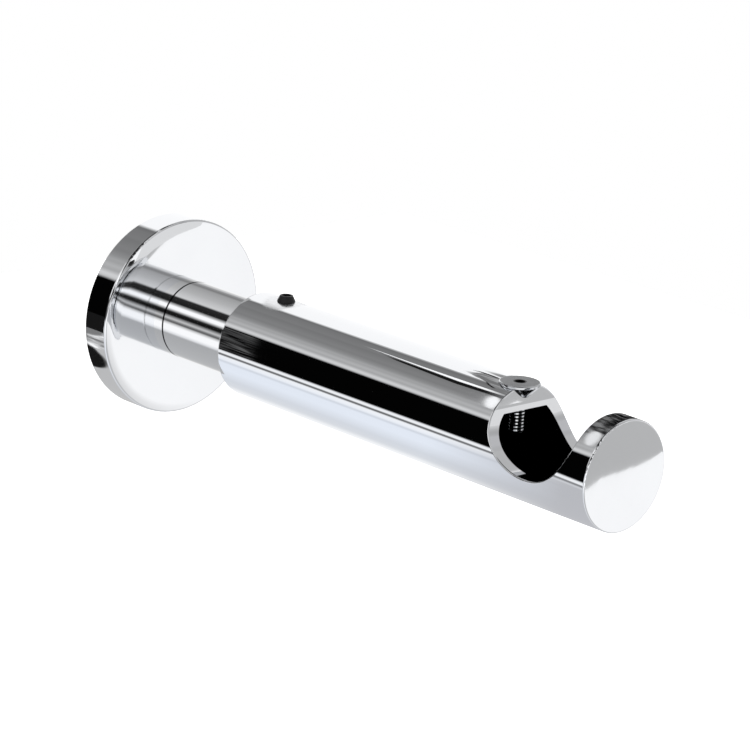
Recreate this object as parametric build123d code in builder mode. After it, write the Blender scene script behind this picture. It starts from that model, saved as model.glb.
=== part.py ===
"""Extendable wall bracket for a curtain pole, in millimetres.

The origin is the centre of the wall face, +X points out into the room,
+Z points up and the pole lies along Y. A round rose covers a fixing plate on
the wall, a stem stands on the rose, and an arm slides along the stem and
carries the pole in a cup that is open at the top.
"""

import os
from math import atan2, cos, hypot, sin

from build123d import *

# Pole and cup
pole_diameter = 28.0
cup_clearance = 0.85
pole_projection = 161.3
pole_height = 10.45
nose_wall = 6.7
nose_depth = 10.8

# Arm
arm_diameter = 30.0
arm_length = 141.3
arm_front_round = 0.45
arm_rear_round = 0.6
bore_lead_in = 0.8
cup_edge_round = 0.35
screw_pad_depth = 6.75
screw_pad_tail = 9.0

# Stem
stem_diameter = 22.6
stem_in_arm = 58.0
stem_wall = 3.0
stem_root = 18.0
stem_front_chamfer = 0.8
seam_chamfer = 0.25

# Rose
rose_diameter = 57.0
rose_thickness = 9.2
rose_edge_radius = 0.7
rose_crown_width = 4.4
rose_crown_drop = 0.45
rose_rim_wall = 3.0
rose_face_wall = 2.4
rose_inner_round = 1.2
collar_length = 4.2

# Wall plate
plate_thickness = 4.4
plate_centre_hole = 19.0
plate_edge_groove = 0.9
fixing_hole_count = 3
fixing_hole_diameter = 4.6
fixing_head_diameter = 8.8
fixing_circle_radius = 17.0
fixing_head_angle = 90.0

# Stem bolt
bolt_diameter = 8.0
bolt_length = 20.0
bolt_head_flats = 13.0
bolt_head_height = 5.0
bolt_end_chamfer = 0.8

# Pole screw
pole_screw_diameter = 4.0
pole_screw_head_diameter = 11.0
pole_screw_rim = 0.8
pole_screw_edge = 0.3
pole_screw_proud = 0.2
pole_screw_setback = 2.55
pole_screw_tip_height = 1.4
pole_screw_tip_chamfer = 0.5
pole_screw_socket_flats = 2.5
pole_screw_socket_depth = 1.8

# Arm grub screw
arm_grub_diameter = 5.0
arm_grub_setback = 10.9
arm_grub_proud = 1.7
arm_grub_land = 0.25
arm_grub_top_diameter = 3.6
arm_grub_tip_chamfer = 0.6
arm_grub_socket_flats = 2.5
arm_grub_socket_depth = 2.2

# Rose grub screw
rose_grub_diameter = 4.0
rose_grub_recess = 0.3
rose_grub_tip_radius = 0.2
rose_grub_socket_flats = 2.0
rose_grub_socket_depth = 1.4

# Fits
sliding_clearance = 0.1
thread_clearance = 0.05
head_clearance = 0.08
plate_clearance = 0.3
bolt_hole_clearance = 0.25
bearing_gap = 0.02

# Places along the axes
arm_radius = arm_diameter / 2
stem_radius = stem_diameter / 2
bore_radius = stem_radius + sliding_clearance
cup_radius = pole_diameter / 2 + cup_clearance
cup_back = pole_projection - cup_radius
arm_front = pole_projection + cup_radius + nose_wall
arm_rear = arm_front - arm_length
bore_end = arm_front - nose_depth
pad_height = arm_radius - screw_pad_depth
pole_screw_x = cup_back - pole_screw_setback
pole_screw_top = arm_radius + pole_screw_proud
pole_screw_cone_top = pole_screw_top - pole_screw_rim
pad_rear = pole_screw_x - screw_pad_tail
arm_grub_x = arm_rear + arm_grub_setback
arm_grub_top = arm_radius + arm_grub_proud
arm_grub_tip = stem_radius + bearing_gap
collar_end = rose_thickness + collar_length
stem_end = arm_rear + stem_in_arm
rose_radius = rose_diameter / 2
rose_inner_radius = rose_radius - rose_rim_wall
rose_back = rose_thickness - rose_face_wall
plate_radius = rose_inner_radius - plate_clearance
groove_x = plate_thickness / 2
rose_grub_end = rose_radius - rose_grub_recess
rose_grub_tip = plate_radius - plate_edge_groove + rose_grub_tip_radius + bearing_gap
rose_grub_cone = rose_grub_diameter / 2 - rose_grub_tip_radius

# Axes of the screws and the planes that hold their profiles
pole_screw_axis = Axis((pole_screw_x, 0, 0), (0, 0, 1))
pole_screw_plane = Plane((pole_screw_x, 0, 0), x_dir=(1, 0, 0), z_dir=(0, -1, 0))
arm_grub_axis = Axis((arm_grub_x, 0, 0), (0, 0, 1))
arm_grub_plane = Plane((arm_grub_x, 0, 0), x_dir=(1, 0, 0), z_dir=(0, -1, 0))
rose_grub_axis = Axis((groove_x, 0, 0), (0, 0, 1))
rose_grub_plane = Plane((groove_x, 0, 0), x_dir=(1, 0, 0), z_dir=(0, -1, 0))


def on_cup_rim(edge):
    """True for an edge that the cup leaves on the outside of the arm."""
    middle = edge @ 0.5
    on_outside = abs(hypot(middle.Y, middle.Z) - arm_radius) < bearing_gap
    within_cup = cup_back - bearing_gap < middle.X < arm_front - nose_wall + bearing_gap
    return on_outside and within_cup


# Wall plate: a disc with countersunk fixing holes and a groove round its edge
with BuildPart() as wall_plate:
    with BuildSketch(Plane.XZ):
        with BuildLine():
            Polyline(
                (0, plate_centre_hole / 2),
                (0, plate_radius),
                (groove_x - plate_edge_groove, plate_radius),
                (groove_x, plate_radius - plate_edge_groove),
                (groove_x + plate_edge_groove, plate_radius),
                (plate_thickness, plate_radius),
                (plate_thickness, plate_centre_hole / 2),
                close=True,
            )
        make_face()
    revolve(axis=Axis.X)
    with Locations(Plane.YZ.offset(plate_thickness)):
        with PolarLocations(fixing_circle_radius, fixing_hole_count, start_angle=90):
            CounterSinkHole(
                fixing_hole_diameter / 2,
                fixing_head_diameter / 2,
                counter_sink_angle=fixing_head_angle,
            )
wall_plate.part.label = "wall_plate"

# Rose: a shallow cover whose face curves down to a small round edge, with a collar for the stem
crown_slope = 2 * atan2(rose_crown_drop, rose_crown_width)
crown_foot = (
    rose_thickness - rose_crown_drop,
    rose_radius - rose_edge_radius * (1 - sin(crown_slope)),
)
crown_top = (rose_thickness, crown_foot[1] - rose_crown_width)
edge_start = (crown_foot[0] - rose_edge_radius * cos(crown_slope), rose_radius)
with BuildPart() as rose:
    with BuildSketch(Plane.XZ):
        with BuildLine():
            Polyline((0, rose_inner_radius), (0, rose_radius), edge_start)
            TangentArc(edge_start, crown_foot, tangent=(1, 0))
            TangentArc(crown_top, crown_foot, tangent=(0, 1))
            Polyline(
                crown_top,
                (rose_thickness, stem_radius),
                (collar_end - seam_chamfer, stem_radius),
                (collar_end, stem_radius - seam_chamfer),
                (collar_end, bolt_diameter / 2 + bolt_hole_clearance),
                (rose_back, bolt_diameter / 2 + bolt_hole_clearance),
                (rose_back, rose_inner_radius - rose_inner_round),
            )
            TangentArc(
                (rose_back, rose_inner_radius - rose_inner_round),
                (rose_back - rose_inner_round, rose_inner_radius),
                tangent=(0, 1),
            )
            Line((rose_back - rose_inner_round, rose_inner_radius), (0, rose_inner_radius))
        make_face()
    revolve(axis=Axis.X)
    with BuildSketch(Plane((groove_x, 0, -rose_radius), x_dir=(1, 0, 0), z_dir=(0, 0, 1))):
        Circle(rose_grub_diameter / 2 + thread_clearance)
    extrude(amount=rose_rim_wall + plate_clearance, mode=Mode.SUBTRACT)
rose.part.label = "rose"

# Rose grub screw: a cone point that bites into the groove of the wall plate
with BuildPart() as rose_grub_screw:
    with BuildSketch(rose_grub_plane):
        with BuildLine():
            Polyline(
                (0, -rose_grub_end),
                (rose_grub_diameter / 2, -rose_grub_end),
                (rose_grub_diameter / 2, -rose_grub_tip - rose_grub_cone),
                (rose_grub_tip_radius, -rose_grub_tip),
                (0, -rose_grub_tip),
                close=True,
            )
        make_face()
    revolve(axis=rose_grub_axis)
    with BuildSketch(Plane((groove_x, 0, -rose_grub_end), x_dir=(1, 0, 0), z_dir=(0, 0, 1))):
        RegularPolygon(rose_grub_socket_flats / 2, 6, major_radius=False)
    extrude(amount=rose_grub_socket_depth, mode=Mode.SUBTRACT)
rose_grub_screw.part.label = "rose_grub_screw"

# Stem: a tube with a solid root that is tapped for the bolt
with BuildPart() as stem:
    with BuildSketch(Plane.XZ):
        with BuildLine():
            Polyline(
                (collar_end, bolt_diameter / 2 + thread_clearance),
                (collar_end, stem_radius - seam_chamfer),
                (collar_end + seam_chamfer, stem_radius),
                (stem_end - stem_front_chamfer, stem_radius),
                (stem_end, stem_radius - stem_front_chamfer),
                (stem_end, stem_radius - stem_wall),
                (collar_end + stem_root, stem_radius - stem_wall),
                (collar_end + stem_root, bolt_diameter / 2 + thread_clearance),
                close=True,
            )
        make_face()
    revolve(axis=Axis.X)
stem.part.label = "stem"

# Stem bolt: a hexagon bolt that draws the stem onto the collar from behind
with BuildPart() as stem_bolt:
    with BuildSketch(Plane.YZ.offset(rose_back - bolt_head_height)):
        RegularPolygon(bolt_head_flats / 2, 6, major_radius=False)
    extrude(amount=bolt_head_height)
    with BuildSketch(Plane.YZ.offset(rose_back)):
        Circle(bolt_diameter / 2)
    extrude(amount=bolt_length)
    chamfer(stem_bolt.edges().sort_by(Axis.X)[-1], bolt_end_chamfer)
stem_bolt.part.label = "stem_bolt"

# Arm: a closed-ended tube, cut open across its top near the front for the pole
with BuildPart() as arm:
    with BuildSketch(Plane.XZ):
        with BuildLine():
            Line((arm_rear, bore_radius + bore_lead_in), (arm_rear, arm_radius - arm_rear_round))
            TangentArc(
                (arm_rear, arm_radius - arm_rear_round),
                (arm_rear + arm_rear_round, arm_radius),
                tangent=(0, 1),
            )
            Line((arm_rear + arm_rear_round, arm_radius), (arm_front - arm_front_round, arm_radius))
            TangentArc(
                (arm_front - arm_front_round, arm_radius),
                (arm_front, arm_radius - arm_front_round),
                tangent=(1, 0),
            )
            Polyline(
                (arm_front, arm_radius - arm_front_round),
                (arm_front, 0),
                (bore_end, 0),
                (bore_end, bore_radius),
                (arm_rear + bore_lead_in, bore_radius),
                (arm_rear, bore_radius + bore_lead_in),
            )
        make_face()
    revolve(axis=Axis.X)

    # Thick pad under the top wall, which takes the thread of the pole screw
    with BuildSketch(Plane.YZ.offset(pad_rear)):
        Circle((bore_radius + arm_radius) / 2)
        with Locations((0, pad_height)):
            Rectangle(arm_diameter, arm_radius, align=(Align.CENTER, Align.MIN), mode=Mode.INTERSECT)
    extrude(amount=bore_end - pad_rear)

    # Cup: a round seat with upright sides, open at the top
    with BuildSketch(Plane.XZ):
        with Locations((pole_projection, pole_height)):
            Circle(cup_radius)
            Rectangle(2 * cup_radius, arm_diameter, align=(Align.CENTER, Align.MIN))
    extrude(amount=arm_diameter, both=True, mode=Mode.SUBTRACT)
    cup_rim = arm.edges().filter_by(on_cup_rim)
    fillet(cup_rim, cup_edge_round)

    # Countersunk and tapped hole for the pole screw
    with BuildSketch(pole_screw_plane):
        with BuildLine():
            Polyline(
                (0, 0),
                (pole_screw_diameter / 2 + thread_clearance, 0),
                (
                    pole_screw_diameter / 2 + thread_clearance,
                    pole_screw_cone_top - (pole_screw_head_diameter - pole_screw_diameter) / 2
                    - head_clearance + thread_clearance,
                ),
                (pole_screw_head_diameter / 2 + head_clearance, pole_screw_cone_top),
                (pole_screw_head_diameter / 2 + head_clearance, arm_diameter),
                (0, arm_diameter),
                close=True,
            )
        make_face()
    revolve(axis=pole_screw_axis, mode=Mode.SUBTRACT)

    # Tapped hole for the grub screw that locks the arm on the stem
    with BuildSketch(Plane.XY):
        with Locations((arm_grub_x, 0)):
            Circle(arm_grub_diameter / 2 + thread_clearance)
    extrude(amount=arm_diameter, mode=Mode.SUBTRACT)
arm.part.label = "arm"

# Pole screw: a countersunk screw whose head overhangs the cup
with BuildPart() as pole_screw:
    with BuildSketch(pole_screw_plane):
        with BuildLine():
            Polyline(
                (0, pole_screw_tip_height),
                (pole_screw_diameter / 2 - pole_screw_tip_chamfer, pole_screw_tip_height),
                (pole_screw_diameter / 2, pole_screw_tip_height + pole_screw_tip_chamfer),
                (
                    pole_screw_diameter / 2,
                    pole_screw_cone_top - (pole_screw_head_diameter - pole_screw_diameter) / 2,
                ),
                (pole_screw_head_diameter / 2, pole_screw_cone_top),
                (pole_screw_head_diameter / 2, pole_screw_top - pole_screw_edge),
                (pole_screw_head_diameter / 2 - pole_screw_edge, pole_screw_top),
                (0, pole_screw_top),
                close=True,
            )
        make_face()
    revolve(axis=pole_screw_axis)
    with BuildSketch(Plane((pole_screw_x, 0, pole_screw_top))):
        RegularPolygon(pole_screw_socket_flats / 2, 6, major_radius=False)
    extrude(amount=-pole_screw_socket_depth, mode=Mode.SUBTRACT)
pole_screw.part.label = "pole_screw"

# Arm grub screw: its tip bears on the stem and its tapered end stands proud
with BuildPart() as arm_grub_screw:
    with BuildSketch(arm_grub_plane):
        with BuildLine():
            Polyline(
                (0, arm_grub_tip),
                (arm_grub_diameter / 2 - arm_grub_tip_chamfer, arm_grub_tip),
                (arm_grub_diameter / 2, arm_grub_tip + arm_grub_tip_chamfer),
                (arm_grub_diameter / 2, arm_radius + arm_grub_land),
                (arm_grub_top_diameter / 2, arm_grub_top),
                (0, arm_grub_top),
                close=True,
            )
        make_face()
    revolve(axis=arm_grub_axis)
    with BuildSketch(Plane((arm_grub_x, 0, arm_grub_top))):
        RegularPolygon(arm_grub_socket_flats / 2, 6, major_radius=False)
    extrude(amount=-arm_grub_socket_depth, mode=Mode.SUBTRACT)
arm_grub_screw.part.label = "arm_grub_screw"

os.makedirs("parts", exist_ok=True)
pieces = (
    wall_plate,
    rose,
    rose_grub_screw,
    stem,
    stem_bolt,
    arm,
    pole_screw,
    arm_grub_screw,
)
for piece in pieces:
    export_step(piece.part, f"parts/{piece.part.label}.step")
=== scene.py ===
"""Looks of an extendable curtain pole bracket: chrome, threaded screws and a small studio."""

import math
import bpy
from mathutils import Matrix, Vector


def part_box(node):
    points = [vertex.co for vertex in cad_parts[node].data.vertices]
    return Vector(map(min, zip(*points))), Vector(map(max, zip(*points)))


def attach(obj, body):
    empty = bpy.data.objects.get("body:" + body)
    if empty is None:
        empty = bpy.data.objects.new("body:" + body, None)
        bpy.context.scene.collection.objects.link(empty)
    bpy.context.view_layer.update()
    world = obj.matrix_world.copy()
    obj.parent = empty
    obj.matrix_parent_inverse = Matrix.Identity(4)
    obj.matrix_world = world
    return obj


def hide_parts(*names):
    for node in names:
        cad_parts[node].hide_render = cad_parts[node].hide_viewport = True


bl_info = {
    "name": "Curtain Pole Bracket",
    "version": (1, 0, 0),
    "blender": (4, 5, 0),
    "location": "3D View > Sidebar > Bracket",
    "description": "Finishes, screws and studio for a chrome curtain pole bracket",
    "category": "Object",
}

import bpy
from bpy.props import FloatProperty, FloatVectorProperty, PointerProperty
from mathutils import Matrix, Vector

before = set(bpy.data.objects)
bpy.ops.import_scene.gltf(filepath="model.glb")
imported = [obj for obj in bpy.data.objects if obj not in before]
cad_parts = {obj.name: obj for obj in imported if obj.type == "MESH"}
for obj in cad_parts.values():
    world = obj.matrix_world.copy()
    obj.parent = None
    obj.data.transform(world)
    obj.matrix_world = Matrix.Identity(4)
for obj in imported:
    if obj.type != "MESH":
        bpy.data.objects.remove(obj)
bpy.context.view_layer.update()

MM = 0.001
WELD = 1e-6
FULL_TURN = 2 * math.pi

# Facets round a turned piece, plain and fine, and the widest angle that still shades smoothly
ROUND_STEPS = 64
FINE_STEPS = 96
SMOOTH_ANGLE = math.radians(24)

# Form of the threads, as shares of the pitch, and facets in one turn
THREAD_DEPTH = 0.61
ROOT_WIDTH = 0.18
CREST_WIDTH = 0.14
POLE_CREST_WIDTH = 0.42
THREAD_STEPS = 40
# How far a thread runs past its trimmed ends, and how far the trimming blank stands off its crest
RUN_OUT = 0.3 * MM
BLANK_PLAY = 0.05 * MM
# Depths of the sockets, and how far a cutting tool reaches past a face
POLE_SOCKET_DEPTH = 1.8 * MM
ARM_GRUB_SOCKET_DEPTH = 2.2 * MM
ROSE_GRUB_SOCKET_DEPTH = 1.4 * MM
OVERSHOOT = MM

# Height of the collar over the rose's flat face, and half the thickness that counts as that face
COLLAR_HEIGHT = 4.2 * MM
FACE_HALF = 0.1 * MM
# How far behind the collar's end the painted shade line in the seam has its middle, and half its
# width
SEAM_SHADE_BACK = 0.19 * MM
SEAM_SHADE_HALF = 0.2 * MM
# Where the haze round the arm's grub screw starts and where it is full
GRUB_HAZE_REACH = (7.5 * MM, 5.5 * MM)

# Polishing marks of the chrome, as (scale of the waves, scale of the lines, share of the lines),
# their stretch along the tubes, and how much deeper the waves are on the rose
CHROME_MARKS = (190.0, 1600.0, 0.02)
TUBE_STRETCH = 0.12
ROSE_WAVES = 1.6
# Other finishes, as (metallic, roughness where clean and where hazy, share of the colour in the
# haze, depth of the polishing marks, and the marks as above)
NICKEL = (1.0, (0.07, 0.15), 0.85, 0.003 * MM, (500.0, 3000.0, 0.5))
BLACK = (0.4, (0.34, 0.52), 1.8, 0.008 * MM, (700.0, 4000.0, 0.5))
ZINC = (1.0, (0.3, 0.48), 0.8, 0.006 * MM, (420.0, 2400.0, 0.4))
# Fixed colours: painted shade for the pole screw's thread roots, the stage's white, pale grey and
# black
ROOT_SHADE_COLOUR = (0.02, 0.02, 0.02, 1)
WHITE = (1, 1, 1, 1)
PALE = (0.9, 0.9, 0.9, 1)
BLACKNESS = (0, 0, 0, 1)

# Width of the camera's sensor, in millimetres
SENSOR_WIDTH = 36

# Light levels round the arm's axis, as (angle in degrees, level, share of blue). The angle is 0
# level with the far side, 90 overhead, 180 level with the near side and 270 below.
# Towards the wall: a softbox overhead, a grey side wall, a long black flag and a pale paper sweep.
WALL_SIDE_LIGHT = (
    (0, 1.08, 0), (62, 1.08, 0), (67, 0.17, 0), (73, 0.205, 0), (86, 0.225, 0), (90, 0.205, 0),
    (103, 0.245, 0), (108, 0.235, 0), (116, 0.31, 0), (121, 0.42, 0), (124, 0.405, 0),
    (129, 0.51, 0), (134, 0.43, 0), (139.5, 0.74, 0), (143, 0.64, 0),
    (146, 0.001, 0), (196, 0.001, 0), (198.5, 1.0, 0.2), (202.5, 1.05, 0.2), (204.5, 0.15, 0.3),
    (207, 0.15, 0.3), (209.5, 1.06, 0.3), (216, 1.06, 0.6), (220.5, 0.84, 1), (225, 1.03, 1),
    (240, 1.03, 1), (268, 0.84, 0.8), (287, 0.84, 0.6), (306, 1.0, 0.2), (360, 1.08, 0),
)
# Towards the room: paler all round, with two narrow flags at the height of the neck.
ROOM_SIDE_LIGHT = (
    (0, 1.08, 0), (20, 0.5, 0), (36, 0.24, 0), (46, 0.42, 0), (78, 0.56, 0), (100, 0.75, 0),
    (104, 0.75, 0), (109, 0.03, 0), (127, 0.015, 0), (133, 0.6, 0), (138, 1.3, 0), (145, 1.25, 0),
    (150, 0.5, 0), (154, 0.03, 0), (158, 0.01, 0), (164, 0.01, 0), (169, 0.35, 0), (174, 0.7, 0),
    (179, 0.25, 0), (183, 0.12, 0), (188, 0.8, 0), (194, 1.25, 0), (208, 1.25, 0), (215, 1.0, 0.2),
    (221, 0.52, 0.2), (300, 0.6, 0.2), (312, 0.8, 0), (325, 1.08, 0), (360, 1.08, 0),
)
# Between the two: a belt across the arm that outlines the rounded edges.
BELT_LIGHT = (
    (0, 0.65, 0), (35, 0.55, 0), (62, 0.45, 0), (70, 0.02, 0), (122, 0.02, 0), (128, 0.75, 0),
    (150, 0.95, 0), (163, 0.9, 0), (167, 0.05, 0), (185, 0.05, 0), (189, 0.8, 0.3), (215, 1.0, 0.6),
    (250, 0.82, 0.4), (290, 0.72, 0.2), (325, 0.66, 0), (338, 0.55, 0), (360, 0.65, 0),
)
BLUE_TINT = (0.87, 0.92, 1.0)

# Each pair that follows is a fade from nothing to all over one part of a direction: x is along the
# arm and away from the wall, y towards the far side, z up.
WALL_TO_BELT_X = (-0.45, -0.3)
BELT_TO_ROOM_X = (0.3, 0.45)

# Under the front of the arm the paper sweep is in shade
UNDER_FRONT = (0.56, 0.565, 0.59, 1)
UNDER_FRONT_X = (-0.675, -0.643)
UNDER_FRONT_Z = (-0.3, -0.42)

# An even fill light for the far wall of the cup
CUP_FILL = (0.54, 0.54, 0.55, 1)
CUP_FILL_X = (0.66, 0.6)
CUP_FILL_Y = (0.2, 0.35)
CUP_FILL_Z = (0.1, 0.25)

# The streaked dark flag that the arm's nose mirrors: its two edges along the arm, the way it faces,
# how far it reaches from there, the stretch of its streaks and their brightest level
NOSE_FLAG_START_X = (-0.650, -0.645)
NOSE_FLAG_END_X = (-0.622, -0.628)
NOSE_FLAG_FACING = (0, 0.719, 0.695)
NOSE_FLAG_REACH = (0.36, 0.40)
NOSE_FLAG_STREAKS = (350, 8, 8)
NOSE_FLAG_LEVEL = 0.35

# How a card thins out: along the arm, across it, and from which share of its half length
FADES = {"ends": (1, 0, 0.6), "spot": (1, 1, 0.85), "patch": (1, 1, 0.6)}
# Stretch of the streaks on a card, and facets of a curved one
CARD_STREAKS = (45, 42, 42)
CARD_STEPS = 24
# Curved cards round the arm that show only in the chrome: (name, distance from the axis in mm,
# from and to along the arm in mm, from and to round it in degrees, level, streaks, fade)
ROUND_CARDS = (
    ("head_card", 150, 1, 35, 10, 40, 0.35, 0.15, "patch"),
    ("rim_edge_flag", 150, -165, -118, 186, 203.5, 0.01, 0, ""),
    ("rim_sweep", 150, -165, -118, 203.5, 224, 0.45, 0.5, ""),
    ("rim_low_sweep", 150, -165, -118, 224, 335, 0.56, 0, ""),
    ("rim_flag", 147, -162, -130, 217, 253, 0.01, 0, "spot"),
    ("rear_glints", 300, -270, -234, 148.5, 195.5, 0.03, 1, "ends"),
    ("cup_light", 1000, -740.5, -727, 91, 123, 1.2, 0, "spot"),
    ("nose_light", 1000, -652.5, -634, 89, 127, 0.95, 0, "spot"),
)
# Flat cards over the arm, as (name, distance from the axis in mm, level, streaks, fade,
# corners along and round the arm)
FLAT_CARDS = (
    ("bright_strip", 150, 1.15, 0, "ends",
     ((-44, 84), (-8, 85), (28, 83), (28, 86.6), (4, 89.6), (-8, 88.2))),
    ("dark_strip", 150, 0.01, 0, "ends",
     ((-34, 88), (4, 90), (28, 87), (28, 93.5), (4, 97.2), (-24, 92.4))),
    ("screw_leaf", 150, 0.28, 0.3, "ends",
     ((-1, 57), (4, 61), (6.3, 64), (9.6, 65.5), (13.1, 67.1), (16.1, 70.4), (19, 73.6),
      (21.6, 77.6), (25, 80), (32, 60), (32, 40), (12, 41), (8.5, 41.2), (6.5, 42), (5, 45),
      (3, 52))),
    ("leaf_edge", 147, 0.01, 0, "",
     ((3.5, 47), (6, 44.6), (10, 44), (14, 46), (14, 41), (10, 40), (6, 41))),
    ("leaf_line", 147, 0.01, 0, "",
     ((10.5, 62), (13.5, 67.2), (16.5, 72), (19.5, 77), (21, 77), (19.5, 73), (16.5, 68.6),
      (13.5, 64.6))),
)
# Outlines of the flat cards in front of the arm, as (name, level, corners as y and z in mm)
FRONT_CARDS = (
    ("end_card", 0.52, (
        (215, -108), (227.2, -103.6), (232.9, -100.9), (239, -100.5), (245.7, -100.1),
        (252.4, -99.4), (258.5, -98.2), (264.9, -96.5), (275, -100), (290, -101), (290, -62),
        (215, -62))),
    ("high_card", 0.8, ((180, -62), (290, -62), (318, -28), (400, 58), (180, 66))),
)
FRONT_CARD_X = 400 * MM
# Parts of the mirror ring round the neck, as (name, outer radius in mm, from and to round the arm),
# the ring's inner radius in mm, its facets and its height over the rose's face
REFLECTORS = (("near_reflector", 44.5, 76, 240), ("far_reflector", 36, 240, 436))
REFLECTOR_INNER = 11.5
REFLECTOR_STEPS = 48
REFLECTOR_LIFT = 0.05 * MM


class ChromeSettings(bpy.types.PropertyGroup):
    """Finish of the plated rose, stem and arm."""

    plate_colour: FloatVectorProperty(
        name="Plate colour", description="Colour of the polished chrome plate",
        subtype="COLOR", size=3, min=0, max=1, default=(0.86, 0.87, 0.89))
    # The seam's colour is painted shade, standing in for the shadow in the gap between stem and
    # collar.
    seam_shade_colour: FloatVectorProperty(
        name="Seam colour", description="Colour of the dark line where the stem meets the collar",
        subtype="COLOR", size=3, min=0, max=1, default=(0.02, 0.02, 0.021))
    polish: FloatProperty(
        name="Polish", description="Roughness of the cleanest plate",
        subtype="FACTOR", min=0, max=1, default=0.02)
    haze: FloatProperty(
        name="Haze", description="Roughness of the haziest plate",
        subtype="FACTOR", min=0, max=1, default=0.04)
    face_haze: FloatProperty(
        name="Face haze", description="Roughness of the rose's flat face",
        subtype="FACTOR", min=0, max=1, default=0.06)
    grub_haze: FloatProperty(
        name="Grub haze", description="Roughness of the plate round the arm's grub screw",
        subtype="FACTOR", min=0, max=1, default=0.26)
    waviness: FloatProperty(
        name="Waviness", description="Depth of the slow waves left by polishing",
        unit="LENGTH", min=0, default=0.004 * MM)


class ScrewSettings(bpy.types.PropertyGroup):
    """Sizes and finishes of the screws."""

    pole_pitch: FloatProperty(
        name="Pole screw pitch", description="Rise of the pole screw's thread in one turn",
        unit="LENGTH", min=0.1 * MM, default=0.9 * MM)
    pole_shank: FloatProperty(
        name="Pole screw diameter", description="Thread diameter of the pole screw",
        unit="LENGTH", min=MM, default=4 * MM)
    pole_head_rim: FloatProperty(
        name="Head rim", description="Height of the straight rim of the pole screw's head",
        unit="LENGTH", min=0.1 * MM, default=0.8 * MM)
    pole_head_edge: FloatProperty(
        name="Head edge", description="Radius of the rounded edge of the pole screw's head",
        unit="LENGTH", min=0.05 * MM, default=0.3 * MM)
    pole_socket: FloatProperty(
        name="Pole screw key", description="Width across flats of the pole screw's socket",
        unit="LENGTH", min=MM, default=2.5 * MM)
    arm_grub_pitch: FloatProperty(
        name="Arm grub pitch", description="Rise of the arm grub screw's thread in one turn",
        unit="LENGTH", min=0.1 * MM, default=0.8 * MM)
    arm_grub_top: FloatProperty(
        name="Arm grub top", description="Diameter of the arm grub screw's tapered end",
        unit="LENGTH", min=MM, default=3.6 * MM)
    arm_grub_taper: FloatProperty(
        name="Arm grub taper", description="Height of the arm grub screw's tapered end",
        unit="LENGTH", min=0.1 * MM, default=1.45 * MM)
    arm_grub_socket: FloatProperty(
        name="Arm grub key", description="Width across flats of the arm grub screw's socket",
        unit="LENGTH", min=MM, default=2.5 * MM)
    rose_grub_pitch: FloatProperty(
        name="Rose grub pitch", description="Rise of the rose grub screw's thread in one turn",
        unit="LENGTH", min=0.1 * MM, default=0.7 * MM)
    rose_grub_socket: FloatProperty(
        name="Rose grub key", description="Width across flats of the rose grub screw's socket",
        unit="LENGTH", min=MM, default=2 * MM)
    bolt_pitch: FloatProperty(
        name="Bolt pitch", description="Rise of the stem bolt's thread in one turn",
        unit="LENGTH", min=0.1 * MM, default=1.25 * MM)
    bolt_shank: FloatProperty(
        name="Bolt diameter", description="Thread diameter of the stem bolt",
        unit="LENGTH", min=MM, default=8 * MM)
    bolt_head: FloatProperty(
        name="Bolt head", description="Height of the stem bolt's head",
        unit="LENGTH", min=MM, default=5 * MM)
    nickel_colour: FloatVectorProperty(
        name="Nickel colour", description="Colour of the plated pole screw",
        subtype="COLOR", size=3, min=0, max=1, default=(0.62, 0.63, 0.65))
    black_colour: FloatVectorProperty(
        name="Black colour", description="Colour of the blackened grub screws",
        subtype="COLOR", size=3, min=0, max=1, default=(0.012, 0.012, 0.013))
    zinc_colour: FloatVectorProperty(
        name="Zinc colour", description="Colour of the wall plate and its bolt",
        subtype="COLOR", size=3, min=0, max=1, default=(0.58, 0.58, 0.56))


class StudioSettings(bpy.types.PropertyGroup):
    """Camera and floor."""

    camera_distance: FloatProperty(
        name="Distance", description="From the camera to the point it looks at",
        unit="LENGTH", min=0.1, default=0.925)
    lens: FloatProperty(
        name="Lens", description="Focal length on a 36 mm sensor",
        subtype="DISTANCE_CAMERA", min=10, default=164.2)
    azimuth: FloatProperty(
        name="Azimuth", description="Angle of the camera round the upright axis",
        subtype="ANGLE", default=math.radians(45.924))
    elevation: FloatProperty(
        name="Elevation", description="Angle of the camera above the horizon",
        subtype="ANGLE", default=math.radians(16.003))
    roll: FloatProperty(
        name="Roll", description="Turn of the camera about its own line of sight",
        subtype="ANGLE", default=math.radians(3.833))
    target: FloatVectorProperty(
        name="Target", description="Point the camera looks at",
        subtype="XYZ", size=3, default=(0.09177, -0.00191, 0.00389))
    floor_drop: FloatProperty(
        name="Floor drop", description="Height of the bracket's axis over the floor",
        unit="LENGTH", min=0.05, default=1.3)
    floor_size: FloatProperty(
        name="Floor size", description="Length of each side of the floor",
        unit="LENGTH", min=1, default=8)


def deselect_all():
    """Leaves object mode with nothing selected."""
    if bpy.context.object and bpy.context.object.mode != "OBJECT":
        bpy.ops.object.mode_set(mode="OBJECT")
    bpy.ops.object.select_all(action="DESELECT")


def draw_chain(name, corners):
    """Draws a chain of edges through points and leaves it selected in edit mode."""
    deselect_all()
    bpy.ops.mesh.primitive_plane_add(size=MM)
    piece = bpy.context.object
    piece.name = name
    bpy.ops.object.mode_set(mode="EDIT")
    bpy.ops.mesh.merge(type="CENTER")
    here = Vector((0, 0, 0))
    for index, corner in enumerate(Vector(corner) for corner in corners):
        if index == 0:
            bpy.ops.transform.translate(value=corner - here)
        else:
            bpy.ops.mesh.extrude_vertices_move(TRANSFORM_OT_translate={"value": corner - here})
        here = corner
    bpy.ops.mesh.select_all(action="SELECT")
    return piece


def draw_outline(name, points):
    """Draws a chain through (radius, height) points in the upright plane."""
    return draw_chain(name, [(radius, 0, height) for radius, height in points])


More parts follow.
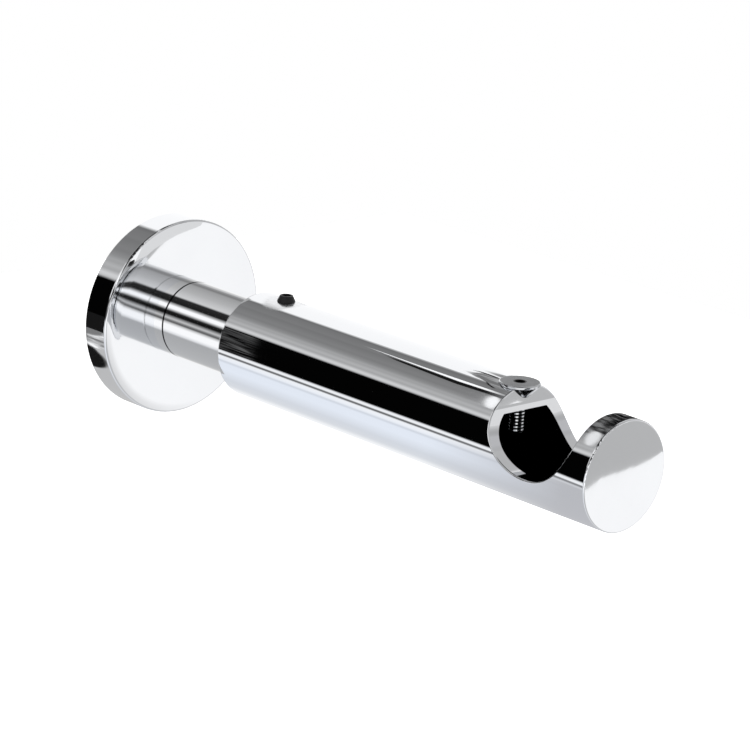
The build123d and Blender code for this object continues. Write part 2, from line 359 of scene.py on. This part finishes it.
def close_mesh():
    """Welds the mesh in edit mode and turns its faces outwards."""
    bpy.ops.mesh.select_all(action="SELECT")
    bpy.ops.mesh.remove_doubles(threshold=WELD)
    bpy.ops.mesh.dissolve_degenerate(threshold=WELD)
    bpy.ops.mesh.normals_make_consistent(inside=False)
    bpy.ops.object.mode_set(mode="OBJECT")


def turn_solid(name, points, steps=ROUND_STEPS):
    """Turns an outline that starts and ends on the axis into a solid about the upright axis."""
    piece = draw_outline(name, points)
    bpy.ops.mesh.spin(steps=steps, angle=FULL_TURN, center=(0, 0, 0), axis=(0, 0, 1))
    close_mesh()
    return piece


def apply_modifier(piece, kind, **settings):
    """Adds one modifier to a piece, sets it and applies it."""
    deselect_all()
    piece.select_set(True)
    bpy.context.view_layer.objects.active = piece
    bpy.ops.object.modifier_add(type=kind)
    modifier = piece.modifiers[-1]
    for key, value in settings.items():
        setattr(modifier, key, value)
    bpy.ops.object.modifier_apply(modifier=modifier.name)


def combine(piece, tool, operation):
    """Joins, cuts or trims a piece with a tool, removes the tool and welds what is left."""
    apply_modifier(piece, "BOOLEAN", object=tool, operation=operation, solver="EXACT")
    bpy.data.objects.remove(tool)
    bpy.ops.object.mode_set(mode="EDIT")
    bpy.ops.mesh.select_all(action="SELECT")
    bpy.ops.mesh.remove_doubles(threshold=WELD)
    bpy.ops.mesh.delete_loose()
    bpy.ops.mesh.select_all(action="SELECT")
    bpy.ops.mesh.fill_holes(sides=4)
    bpy.ops.object.mode_set(mode="OBJECT")


def thread_rod(radius, pitch, low, high, crest):
    """A rod with a continuous thread from low to high, its ends cut flat."""
    root = radius - THREAD_DEPTH * pitch
    flank = (1 - crest - ROOT_WIDTH) / 2
    turns = math.ceil((high - low) / pitch) + 3
    points = []
    for turn in range(turns):
        base = low + (turn - 2) * pitch
        points += [
            (root, base),
            (root, base + ROOT_WIDTH * pitch),
            (radius, base + (ROOT_WIDTH + flank) * pitch),
            (radius, base + (ROOT_WIDTH + flank + crest) * pitch),
        ]
    points.append((root, low + (turns - 2) * pitch))
    rod = draw_outline("thread", points)
    bpy.ops.object.mode_set(mode="OBJECT")
    apply_modifier(rod, "SCREW", axis="Z", angle=FULL_TURN, screw_offset=pitch, steps=THREAD_STEPS,
                   render_steps=THREAD_STEPS, use_merge_vertices=True, merge_threshold=WELD)
    bpy.ops.object.mode_set(mode="EDIT")
    bpy.ops.mesh.select_all(action="SELECT")
    bpy.ops.mesh.remove_doubles(threshold=WELD)
    bpy.ops.mesh.quads_convert_to_tris()
    for height, outwards in ((low, -1), (high, 1)):
        bpy.ops.mesh.select_all(action="SELECT")
        bpy.ops.mesh.bisect(plane_co=(0, 0, height), plane_no=(0, 0, outwards), use_fill=True,
                            clear_outer=True, threshold=WELD)
    close_mesh()
    return rod


def tip_outline(radius, chamfer, high):
    """Outline of a blank that trims a thread below a height and chamfers its lower end."""
    reach = radius + BLANK_PLAY
    return (0, 0), (reach - chamfer, 0), (reach, chamfer), (reach, high), (0, high)


def add_thread(screw, radius, pitch, low, high, outline, crest=CREST_WIDTH):
    """Adds a thread from low to high to a screw, trimmed by a blank of a given outline."""
    thread = thread_rod(radius, pitch, low, high, crest)
    combine(thread, turn_solid("blank", outline), "INTERSECT")
    combine(screw, thread, "UNION")


def hex_tool(across_flats, low, high, turned=math.radians(30)):
    """A hexagonal bar that reaches from low to high on the upright axis."""
    deselect_all()
    bpy.ops.mesh.primitive_cylinder_add(
        vertices=6, radius=across_flats / math.sqrt(3), depth=high - low,
        location=(0, 0, (low + high) / 2), rotation=(0, 0, turned))
    key = bpy.context.object
    bpy.ops.object.transform_apply(location=True, rotation=True)
    return key


def settle(piece, place, turned=(0, 0, 0)):
    """Puts a piece made about the upright axis in its place, with its place in its mesh."""
    deselect_all()
    piece.select_set(True)
    bpy.context.view_layer.objects.active = piece
    piece.rotation_euler = turned
    piece.location = place
    bpy.ops.object.transform_apply(location=True, rotation=True, scale=True)
    bpy.ops.object.shade_smooth_by_angle(angle=SMOOTH_ANGLE)
    apply_modifier(piece, "WEIGHTED_NORMAL", weight=100, keep_sharp=True)


def dress(piece, material):
    """Gives a piece or a node one material."""
    piece.data.materials.clear()
    piece.data.materials.append(material)


def stand_for(piece, node, body, material):
    """Dresses a piece and puts it in the place of a node of the frame."""
    dress(piece, material)
    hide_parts(node)
    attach(piece, body)


def foot(low, high):
    """The middle of the underside of a box."""
    return Vector(((low.x + high.x) / 2, (low.y + high.y) / 2, low.z))


def set_inputs(tree, node, inputs):
    """Gives the sockets of a node their values, or links from other nodes."""
    for name, value in inputs.items():
        if isinstance(value, bpy.types.NodeSocket):
            tree.links.new(value, node.inputs[name])
        else:
            node.inputs[name].default_value = value


def add_node(tree, kind, inputs=None, **options):
    """Adds a shader node and sets its options and inputs."""
    node = tree.nodes.new("ShaderNode" + kind)
    for option, value in options.items():
        setattr(node, option, value)
    set_inputs(tree, node, inputs or {})
    return node


def source(socket):
    """The output that feeds a socket."""
    return socket.links[0].from_socket


def blend(tree, mask, under, over):
    """A value that goes from under to over where a mask is 1."""
    return add_node(tree, "Mix", {"Factor": mask, "A": under, "B": over}).outputs["Result"]


def lay_over(tree, mask, under, over):
    """A colour that goes from under to over where a mask is 1."""
    mix = add_node(tree, "Mix", data_type="RGBA")
    set_inputs(tree, mix, {"Factor": mask, "A": under, "B": over})
    return mix.outputs["Result"]


def fade_in(tree, value, fade):
    """A mask that goes from 0 to 1 while a value goes from the start to the end of a fade."""
    start, end = fade
    mask = add_node(tree, "MapRange", {"Value": value, "From Min": start, "From Max": end})
    return mask.outputs["Result"]


def both(tree, first, second):
    """The overlap of two masks."""
    return add_node(tree, "Math", {0: first, 1: second}, operation="MULTIPLY").outputs["Value"]


def lay_mask(tree, place, middle, reach):
    """A mask that is 1 where the distance from the wall lies within reach of a value."""
    split = add_node(tree, "SeparateXYZ", {"Vector": place})
    mask = add_node(tree, "Math", {0: split.outputs["X"], 1: middle, 2: reach},
                    operation="COMPARE")
    return mask.outputs["Value"]


def show_either(tree, mask, first, second):
    """Shows a first shader where a mask is 0 and a second one where it is 1."""
    choose = add_node(tree, "MixShader", {
        "Fac": mask, 1: first.outputs["BSDF"], 2: second.outputs["BSDF"]})
    set_inputs(tree, tree.nodes["Material Output"], {"Surface": choose.outputs["Shader"]})


def polishing_group():
    """Node group of the marks that polishing leaves: slow waves, fine lines and patches of haze."""
    group = bpy.data.node_groups.get("polishing marks")
    if group:
        return group
    group = bpy.data.node_groups.new("polishing marks", "ShaderNodeTree")
    face = group.interface
    face.new_socket("Vector", in_out="INPUT", socket_type="NodeSocketVector")
    for name, value in (("Wave Scale", 60.0), ("Line Scale", 900.0), ("Line Share", 0.2)):
        socket = face.new_socket(name, in_out="INPUT", socket_type="NodeSocketFloat")
        socket.default_value = value
    face.new_socket("Height", in_out="OUTPUT", socket_type="NodeSocketFloat")
    face.new_socket("Haze", in_out="OUTPUT", socket_type="NodeSocketFloat")
    given = group.nodes.new("NodeGroupInput").outputs
    result = group.nodes.new("NodeGroupOutput")
    place = given["Vector"]
    waves = add_node(group, "TexNoise", {
        "Vector": place, "Scale": given["Wave Scale"], "Detail": 1.5})
    lines = add_node(group, "TexNoise", {
        "Vector": place, "Scale": given["Line Scale"], "Detail": 3.0})
    patches = add_node(group, "TexNoise", {
        "Vector": place, "Scale": 34.0, "Detail": 4.0, "Roughness": 0.62})
    set_inputs(group, result, {
        "Height": blend(group, given["Line Share"], waves.outputs["Fac"], lines.outputs["Fac"]),
        "Haze": fade_in(group, patches.outputs["Fac"], (0.35, 0.72))})
    return group


def start_material(name, inputs):
    """A new material. Returns it, its node tree and its shader with the inputs set."""
    material = bpy.data.materials.new(name)
    material.use_nodes = True
    tree = material.node_tree
    shader = tree.nodes["Principled BSDF"]
    set_inputs(tree, shader, inputs)
    return material, tree, shader


def marked_metal(name, colour, metallic, rough, hazy_share, depth, marks, stretch=(1, 1, 1)):
    """A metal with polishing marks. Returns its material, node tree, shader and coordinates."""
    material, tree, shader = start_material(name, {"Metallic": metallic})
    place = add_node(tree, "TexCoord").outputs["Object"]
    stretched = add_node(tree, "Mapping", {"Vector": place, "Scale": stretch})
    wave_scale, line_scale, line_share = marks
    polishing = add_node(tree, "Group", {
        "Vector": stretched.outputs["Vector"], "Wave Scale": wave_scale,
        "Line Scale": line_scale, "Line Share": line_share}, node_tree=polishing_group())
    haze = polishing.outputs["Haze"]
    clean, hazy = rough
    roughness = add_node(tree, "MapRange", {"Value": haze, "To Min": clean, "To Max": hazy})
    bump = add_node(tree, "Bump", {
        "Height": polishing.outputs["Height"], "Strength": 1.0, "Distance": depth})
    hazy_colour = [min(1.0, channel * hazy_share) for channel in colour]
    set_inputs(tree, shader, {
        "Base Color": lay_over(tree, haze, (*colour, 1), (*hazy_colour, 1)),
        "Roughness": roughness.outputs["Result"],
        "Normal": bump.outputs["Normal"]})
    return material, tree, shader, place


def chrome_material(name, settings, seam, grub, along, waves):
    """Mirror-polished chrome plate: slow waves, painted shade in the seam, and haze on the
    rose's face and round the arm's grub screw."""
    material, tree, shader, place = marked_metal(
        name, settings.plate_colour, 1.0, (settings.polish, settings.haze), 0.97,
        settings.waviness * waves, CHROME_MARKS, (along, 1, 1))
    plate, polish = source(shader.inputs["Base Color"]), source(shader.inputs["Roughness"])
    # Painted shade: a dark line in the plate where the stem meets the collar stands in for the
    # shade in the gap.
    in_seam_shade = lay_mask(tree, place, seam - SEAM_SHADE_BACK, SEAM_SHADE_HALF)
    on_face = lay_mask(tree, place, seam - COLLAR_HEIGHT, FACE_HALF)
    apart = add_node(tree, "VectorMath", {0: place, 1: grub}, operation="DISTANCE")
    near_grub = fade_in(tree, apart.outputs["Value"], GRUB_HAZE_REACH)
    satin = blend(tree, on_face, polish, settings.face_haze)
    set_inputs(tree, shader, {
        "Base Color": lay_over(tree, in_seam_shade, plate, (*settings.seam_shade_colour, 1)),
        "Roughness": blend(tree, near_grub, satin, settings.grub_haze)})
    return material


class BRACKET_OT_chrome_parts(bpy.types.Operator):
    """Finishes the rose, the stem and the arm in polished chrome"""

    bl_idname = "bracket.chrome_parts"
    bl_label = "Chrome Parts"

    def execute(self, context):
        settings = context.scene.bracket_chrome
        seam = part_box("rose")[1].x
        grub = foot(*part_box("arm_grub_screw"))
        grub.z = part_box("arm")[1].z
        drawn = chrome_material("polished tube", settings, seam, grub, TUBE_STRETCH, 1)
        spun = chrome_material("polished rose", settings, seam, grub, 1, ROSE_WAVES)
        for node in ("stem", "arm"):
            dress(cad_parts[node], drawn)
        dress(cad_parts["rose"], spun)
        return {"FINISHED"}


def nickel_material(settings, axis_x):
    """Bright nickel plate with painted shade in its thread roots."""
    material, tree, shader, place = marked_metal(
        "nickel plated steel", settings.nickel_colour, *NICKEL)
    plate = source(shader.inputs["Base Color"])
    crest = settings.pole_shank / 2
    centred = add_node(tree, "Mapping", {"Vector": place, "Location": (-axis_x, 0, 0)})
    flat = add_node(tree, "VectorMath", {0: centred.outputs["Vector"], 1: (1, 1, 0)},
                    operation="MULTIPLY")
    radius = add_node(tree, "VectorMath", {0: flat.outputs["Vector"]}, operation="LENGTH")
    # Painted shade: the thread's roots, below the crests, are painted near black in place of their
    # shade.
    on_crest = fade_in(tree, radius.outputs["Value"], (crest - 0.4 * MM, crest - 0.1 * MM))
    set_inputs(tree, shader, {"Base Color": lay_over(tree, on_crest, ROOT_SHADE_COLOUR, plate)})
    return material


class BRACKET_OT_pole_screw(bpy.types.Operator):
    """Models the countersunk screw that holds the pole, with its thread and socket"""

    bl_idname = "bracket.pole_screw"
    bl_label = "Pole Screw"

    def execute(self, context):
        settings = context.scene.bracket_screws
        low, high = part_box("pole_screw")
        place = foot(low, high)
        head = (high.x - low.x) / 2
        shank = settings.pole_shank / 2
        length = high.z - low.z
        rim_low = length - settings.pole_head_rim
        cone_low = rim_low - (head - shank)
        edge = settings.pole_head_edge
        rounding = [(head - edge * (1 - math.cos(turn)), length - edge * (1 - math.sin(turn)))
                    for turn in (math.radians(18 * part) for part in range(6))]
        plug, plug_low = shank - 0.1 * MM, cone_low - 0.5 * MM
        chamfer = 0.05 * MM
        screw = turn_solid("pole_screw_threaded", (
            (0, plug_low), (plug, plug_low), (plug, cone_low), (shank, cone_low),
            (head - chamfer, rim_low - chamfer), (head, rim_low + chamfer), *rounding,
            (0, length)), FINE_STEPS)
        combine(screw, hex_tool(settings.pole_socket, length - POLE_SOCKET_DEPTH,
                                length + OVERSHOOT), "DIFFERENCE")
        flat = settings.pole_socket / 2
        mouth_low, mouth_high = length - 0.35 * MM, length + 0.05 * MM
        combine(screw, turn_solid("mouth", (
            (0, mouth_low), (flat - 0.1 * MM, mouth_low), (flat + 0.3 * MM, mouth_high),
            (0, mouth_high)), FINE_STEPS), "DIFFERENCE")
        add_thread(screw, shank, settings.pole_pitch, -RUN_OUT, cone_low,
                   tip_outline(shank, 0.5 * MM, cone_low - 0.2 * MM), POLE_CREST_WIDTH)
        settle(screw, place)
        stand_for(screw, "pole_screw", "pole_screw",
                  nickel_material(settings, place.x))
        return {"FINISHED"}


class BRACKET_OT_grub_screws(bpy.types.Operator):
    """Models the two blackened grub screws with their threads and sockets"""

    bl_idname = "bracket.grub_screws"
    bl_label = "Grub Screws"

    def execute(self, context):
        settings = context.scene.bracket_screws
        material = marked_metal("blackened steel", settings.black_colour, *BLACK)[0]

        low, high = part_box("arm_grub_screw")
        radius = (high.x - low.x) / 2
        length = high.z - low.z
        land = length - settings.arm_grub_taper
        neck = land - 1.1 * MM
        screw = turn_solid("arm_grub_threaded", (
            (0, neck), (radius - 0.4 * MM, neck), (radius, neck + 0.4 * MM), (radius, land),
            (settings.arm_grub_top / 2, length), (0, length)))
        add_thread(screw, radius, settings.arm_grub_pitch, -RUN_OUT, neck + RUN_OUT,
                   tip_outline(radius, 0.6 * MM, neck + 0.2 * MM))
        combine(screw, hex_tool(settings.arm_grub_socket, length - ARM_GRUB_SOCKET_DEPTH,
                                length + OVERSHOOT), "DIFFERENCE")
        settle(screw, foot(low, high))
        stand_for(screw, "arm_grub_screw", "arm_grub_screw", material)

        low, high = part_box("rose_grub_screw")
        radius = (high.x - low.x) / 2
        length = high.z - low.z
        cone = length - radius + 0.2 * MM
        screw = turn_solid("rose_grub_threaded", (
            (0, cone - 0.5 * MM), (radius - 0.4 * MM, cone - 0.5 * MM), (radius - 0.02 * MM, cone),
            (0.2 * MM, length), (0, length)))
        add_thread(screw, radius, settings.rose_grub_pitch, -RUN_OUT, cone,
                   tip_outline(radius, 0.3 * MM, cone - 0.2 * MM))
        combine(screw, hex_tool(settings.rose_grub_socket, -OVERSHOOT, ROSE_GRUB_SOCKET_DEPTH),
                "DIFFERENCE")
        settle(screw, foot(low, high))
        stand_for(screw, "rose_grub_screw", "base", material)
        return {"FINISHED"}


class BRACKET_OT_wall_fixings(bpy.types.Operator):
    """Models the bolt behind the rose and finishes it and the wall plate in zinc"""

    bl_idname = "bracket.wall_fixings"
    bl_label = "Wall Fixings"

    def execute(self, context):
        settings = context.scene.bracket_screws
        material = marked_metal("zinc plated steel", settings.zinc_colour, *ZINC)[0]
        dress(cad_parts["wall_plate"], material)

        low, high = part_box("stem_bolt")
        flats = high.z - low.z
        corner = (high.y - low.y) / 2 + 0.2 * MM
        length = high.x - low.x
        shank = settings.bolt_shank / 2
        top = settings.bolt_head
        bolt = hex_tool(flats, 0, top, 0)
        bolt.name = "stem_bolt_threaded"
        washer, washer_low = flats / 2 - 0.1 * MM, top - 0.3 * MM
        crown = turn_solid("crown", (
            (0, -OVERSHOOT), (flats / 2 - 1.9 * MM, -OVERSHOOT), (corner, 0.9 * MM),
            (corner, washer_low), (washer, washer_low), (washer, top + OVERSHOOT),
            (0, top + OVERSHOOT)), FINE_STEPS)
        combine(bolt, crown, "INTERSECT")
        reach, thread_low, chamfer = shank + BLANK_PLAY, top - 0.1 * MM, 0.8 * MM
        add_thread(bolt, shank, settings.bolt_pitch, top - 0.2 * MM, length + RUN_OUT, (
            (0, thread_low), (reach, thread_low), (reach, length - chamfer),
            (reach - chamfer, length), (0, length)))
        settle(bolt, (low.x, (low.y + high.y) / 2, (low.z + high.z) / 2), (0, math.pi / 2, 0))
        stand_for(bolt, "stem_bolt", "base", material)
        return {"FINISHED"}


def light_ramp(tree, turn, bands):
    """The light of a set of bands at each turn round the arm's axis."""
    ramp = add_node(tree, "ValToRGB", {"Fac": turn})
    stops = ramp.color_ramp.elements
    stops[0].position, stops[1].position = 0, 1
    for angle, level, blue in bands[1:-1]:
        stops.new(angle / 360)
    for stop, (angle, level, blue) in zip(stops, bands):
        stop.position = angle / 360
        stop.color = (*(level * (1 - blue * (1 - part)) for part in BLUE_TINT), 1)
    return ramp.outputs["Color"]


def nose_flag(tree, direction, along):
    """The streaked dark flag that the arm's nose mirrors: where it is, and its light."""
    facing = add_node(tree, "VectorMath", {0: direction, 1: NOSE_FLAG_FACING},
                      operation="DOT_PRODUCT")
    width = both(tree, fade_in(tree, along, NOSE_FLAG_START_X),
                 fade_in(tree, along, NOSE_FLAG_END_X))
    mask = both(tree, width, fade_in(tree, facing.outputs["Value"], NOSE_FLAG_REACH))
    stretched = add_node(tree, "Mapping", {"Vector": direction, "Scale": NOSE_FLAG_STREAKS})
    streaks = add_node(tree, "TexNoise", {
        "Vector": stretched.outputs["Vector"], "Scale": 1.0, "Detail": 2.0, "Distortion": 0.6})
    light = add_node(tree, "MapRange", {
        "Value": streaks.outputs["Fac"], "From Min": 0.45, "From Max": 0.7,
        "To Max": NOSE_FLAG_LEVEL})
    return mask, light.outputs["Result"]


def light_world(scene):
    """Surrounds the bracket with the light bands, and keeps a white ground behind it."""
    world = bpy.data.worlds.new("studio")
    scene.world = world
    world.use_nodes = True
    tree = world.node_tree
    tree.nodes.clear()
    direction = add_node(tree, "TexCoord").outputs["Generated"]
    split = add_node(tree, "SeparateXYZ", {"Vector": direction})
    along, far, above = (split.outputs[axis] for axis in "XYZ")
    angle = add_node(tree, "Math", {0: above, 1: far}, operation="ARCTAN2")
    turn = add_node(tree, "Math", {0: angle.outputs["Value"], 1: FULL_TURN}, operation="DIVIDE")
    wrapped = add_node(tree, "Math", {0: turn.outputs["Value"]}, operation="FRACT")
    wall, belt, room = (light_ramp(tree, wrapped.outputs["Value"], bands)
                        for bands in (WALL_SIDE_LIGHT, BELT_LIGHT, ROOM_SIDE_LIGHT))

    shaded = both(tree, fade_in(tree, along, UNDER_FRONT_X), fade_in(tree, above, UNDER_FRONT_Z))
    flag, streaks = nose_flag(tree, direction, along)
    past_wall = fade_in(tree, along, WALL_TO_BELT_X)
    past_belt = fade_in(tree, along, BELT_TO_ROOM_X)
    cup = both(tree, both(tree, past_belt, fade_in(tree, along, CUP_FILL_X)),
               both(tree, fade_in(tree, far, CUP_FILL_Y), fade_in(tree, above, CUP_FILL_Z)))
    light = lay_over(tree, shaded, wall, UNDER_FRONT)
    light = lay_over(tree, flag, light, streaks)
    light = lay_over(tree, past_wall, light, belt)
    light = lay_over(tree, past_belt, light, room)
    light = lay_over(tree, cup, light, CUP_FILL)

    studio = add_node(tree, "Background", {"Color": light})
    ground = add_node(tree, "Background", {"Color": WHITE})
    path = add_node(tree, "LightPath")
    choose = add_node(tree, "MixShader", {
        "Fac": path.outputs["Is Camera Ray"],
        1: studio.outputs["Background"], 2: ground.outputs["Background"]})
    add_node(tree, "OutputWorld", {"Surface": choose.outputs["Shader"]})


def add_floor(settings):
    """A large white floor well below the bracket, which throws no glare into the chrome."""
    deselect_all()
    bpy.ops.mesh.primitive_grid_add(x_subdivisions=8, y_subdivisions=8, size=settings.floor_size,
                                    location=(0, 0, -settings.floor_drop))
    floor = bpy.context.object
    floor.name = "floor"
    bpy.ops.object.transform_apply(location=True)
    dress(floor, start_material("white floor", {
        "Base Color": PALE, "Emission Color": WHITE, "Emission Strength": 1.0})[0])
    floor.visible_glossy = False
    floor.visible_diffuse = False


def fade_out(tree, place, card, fade):
    """A mask that falls to nothing at the ends of a card, or all round it."""
    along, across, start = FADES[fade]
    corners = [vertex.co for vertex in card.data.vertices]
    low, high = (Vector(map(pick, zip(*corners))) for pick in (min, max))
    middle, half = (low + high) / 2, (high - low) / 2
    scale = Vector((along / half.x, across / half.y, 0))
    centred = add_node(tree, "Mapping", {
        "Vector": place, "Scale": scale, "Location": -middle * scale})
    reach = add_node(tree, "VectorMath", {0: centred.outputs["Vector"]}, operation="LENGTH")
    mask = add_node(tree, "MapRange", {
        "Value": reach.outputs["Value"], "From Min": 1.0, "From Max": start},
        interpolation_type="SMOOTHSTEP")
    return mask.outputs["Result"]


def glow_material(card, level, streaks, fade):
    """Makes a card give an even light, or one with streaks along the arm."""
    material, tree, shader = start_material(card.name, {
        "Base Color": BLACKNESS, "Specular IOR Level": 0, "Emission Strength": 1.0})
    place = add_node(tree, "TexCoord").outputs["Object"]
    stretched = add_node(tree, "Mapping", {"Vector": place, "Scale": CARD_STREAKS})
    noise = add_node(tree, "TexNoise", {
        "Vector": stretched.outputs["Vector"], "Scale": 1.0, "Detail": 3.0, "Distortion": 1.2})
    glow = add_node(tree, "MapRange", {
        "Value": noise.outputs["Fac"], "From Min": 0.42, "From Max": 0.66,
        "To Min": level * (1 - streaks), "To Max": level * (1 + 3 * streaks)})
    set_inputs(tree, shader, {"Emission Color": glow.outputs["Result"]})
    if fade:
        show_either(tree, fade_out(tree, place, card, fade),
                    add_node(tree, "BsdfTransparent"), shader)
    return material


def hang(card, material):
    """Dresses a card that the camera doesn't see."""
    dress(card, material)
    card.visible_camera = False
    card.visible_diffuse = False
    card.visible_shadow = False


def round_point(along, angle, radius):
    """A point at a distance along the arm, an angle round it and a distance from its axis."""
    turn = math.radians(angle)
    return Vector((along, radius * math.cos(turn), radius * math.sin(turn))) * MM


def spin_round_arm(start, end, steps):
    """Spins the selected chain round the arm's axis from one angle in degrees to another."""
    bpy.ops.mesh.spin(steps=steps, angle=math.radians(start - end), center=(0, 0, 0),
                      axis=(1, 0, 0))


def add_flat_card(name, corners, level, streaks, fade):
    """Hangs a flat card with the given corners."""
    card = draw_chain(name, corners)
    bpy.ops.mesh.edge_face_add()
    bpy.ops.object.mode_set(mode="OBJECT")
    hang(card, glow_material(card, level, streaks, fade))


def add_cards():
    """Hangs the cards that the chrome mirrors."""
    for name, radius, start, end, low, high, level, streaks, fade in ROUND_CARDS:
        card = draw_chain(name, [round_point(along, low, radius) for along in (start, end)])
        spin_round_arm(low, high, CARD_STEPS)
        bpy.ops.object.mode_set(mode="OBJECT")
        hang(card, glow_material(card, level, streaks, fade))
    for name, radius, level, streaks, fade, corners in FLAT_CARDS:
        points = [round_point(along, angle, radius) for along, angle in corners]
        add_flat_card(name, points, level, streaks, fade)
    for name, level, corners in FRONT_CARDS:
        points = [(FRONT_CARD_X, y * MM, z * MM) for y, z in corners]
        add_flat_card(name, points, level, 0, "")


def add_reflectors():
    """A ring in the plane of the rose's face that carries its mirror image of the stem further."""
    plane = (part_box("rose")[1].x - COLLAR_HEIGHT + REFLECTOR_LIFT) / MM
    material, tree, shader = start_material("reflector", {
        "Base Color": PALE, "Metallic": 1.0, "Roughness": 0.03})
    side = add_node(tree, "NewGeometry")
    show_either(tree, side.outputs["Backfacing"], shader, add_node(tree, "BsdfTransparent"))
    for name, outer, start, end in REFLECTORS:
        ring = draw_chain(name, [round_point(plane, start, radius)
                                 for radius in (REFLECTOR_INNER, outer)])
        spin_round_arm(start, end, REFLECTOR_STEPS)
        close_mesh()
        if ring.data.polygons[0].normal.x < 0:
            bpy.ops.object.mode_set(mode="EDIT")
            bpy.ops.mesh.flip_normals()
            bpy.ops.object.mode_set(mode="OBJECT")
        hang(ring, material)


def add_camera(scene, settings):
    """Places the camera at the picture's point of view."""
    flat = math.cos(settings.elevation)
    back = Vector((math.sin(settings.azimuth) * flat, -math.cos(settings.azimuth) * flat,
                   math.sin(settings.elevation)))
    level = (-back).cross(Vector((0, 0, 1))).normalized()
    upright = level.cross(-back)
    right = math.cos(settings.roll) * level + math.sin(settings.roll) * upright
    up = math.cos(settings.roll) * upright - math.sin(settings.roll) * level
    bpy.ops.object.camera_add()
    camera = bpy.context.object
    camera.matrix_world = Matrix.Translation(
        Vector(settings.target) + back * settings.camera_distance
    ) @ Matrix((right, up, back)).transposed().to_4x4()
    camera.data.sensor_width = SENSOR_WIDTH
    camera.data.sensor_fit = "HORIZONTAL"
    camera.data.lens = settings.lens
    scene.camera = camera


class BRACKET_OT_stage(bpy.types.Operator):
    """Sets up the light, the floor, the cards and the camera"""

    bl_idname = "bracket.stage"
    bl_label = "Stage"

    def execute(self, context):
        scene = context.scene
        settings = scene.bracket_studio
        scene.view_settings.view_transform = "Standard"
        light_world(scene)
        add_floor(settings)
        add_cards()
        add_reflectors()
        add_camera(scene, settings)
        return {"FINISHED"}


class BRACKET_PT_panel(bpy.types.Panel):
    """Lists the bracket's settings and steps"""

    bl_label = "Curtain Pole Bracket"
    bl_idname = "BRACKET_PT_panel"
    bl_space_type = "VIEW_3D"
    bl_region_type = "UI"
    bl_category = "Bracket"

    def draw(self, context):
        for group in (context.scene.bracket_chrome, context.scene.bracket_screws,
                      context.scene.bracket_studio):
            box = self.layout.box()
            for name in group.__annotations__:
                box.prop(group, name)
        for step in STEPS:
            self.layout.operator(step.bl_idname)


STEPS = (
    BRACKET_OT_chrome_parts,
    BRACKET_OT_pole_screw,
    BRACKET_OT_grub_screws,
    BRACKET_OT_wall_fixings,
    BRACKET_OT_stage,
)
CLASSES = (ChromeSettings, ScrewSettings, StudioSettings, *STEPS, BRACKET_PT_panel)


def register():
    """Registers the classes and hangs the settings on the scene."""
    for item in CLASSES:
        bpy.utils.register_class(item)
    bpy.types.Scene.bracket_chrome = PointerProperty(type=ChromeSettings)
    bpy.types.Scene.bracket_screws = PointerProperty(type=ScrewSettings)
    bpy.types.Scene.bracket_studio = PointerProperty(type=StudioSettings)


def unregister():
    """Takes away what register adds."""
    del bpy.types.Scene.bracket_studio
    del bpy.types.Scene.bracket_screws
    del bpy.types.Scene.bracket_chrome
    for item in reversed(CLASSES):
        bpy.utils.unregister_class(item)


def main():
    """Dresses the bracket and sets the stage."""
    register()
    bpy.ops.bracket.chrome_parts()
    bpy.ops.bracket.pole_screw()
    bpy.ops.bracket.grub_screws()
    bpy.ops.bracket.wall_fixings()
    bpy.ops.bracket.stage()


if __name__ == "__main__":
    main()
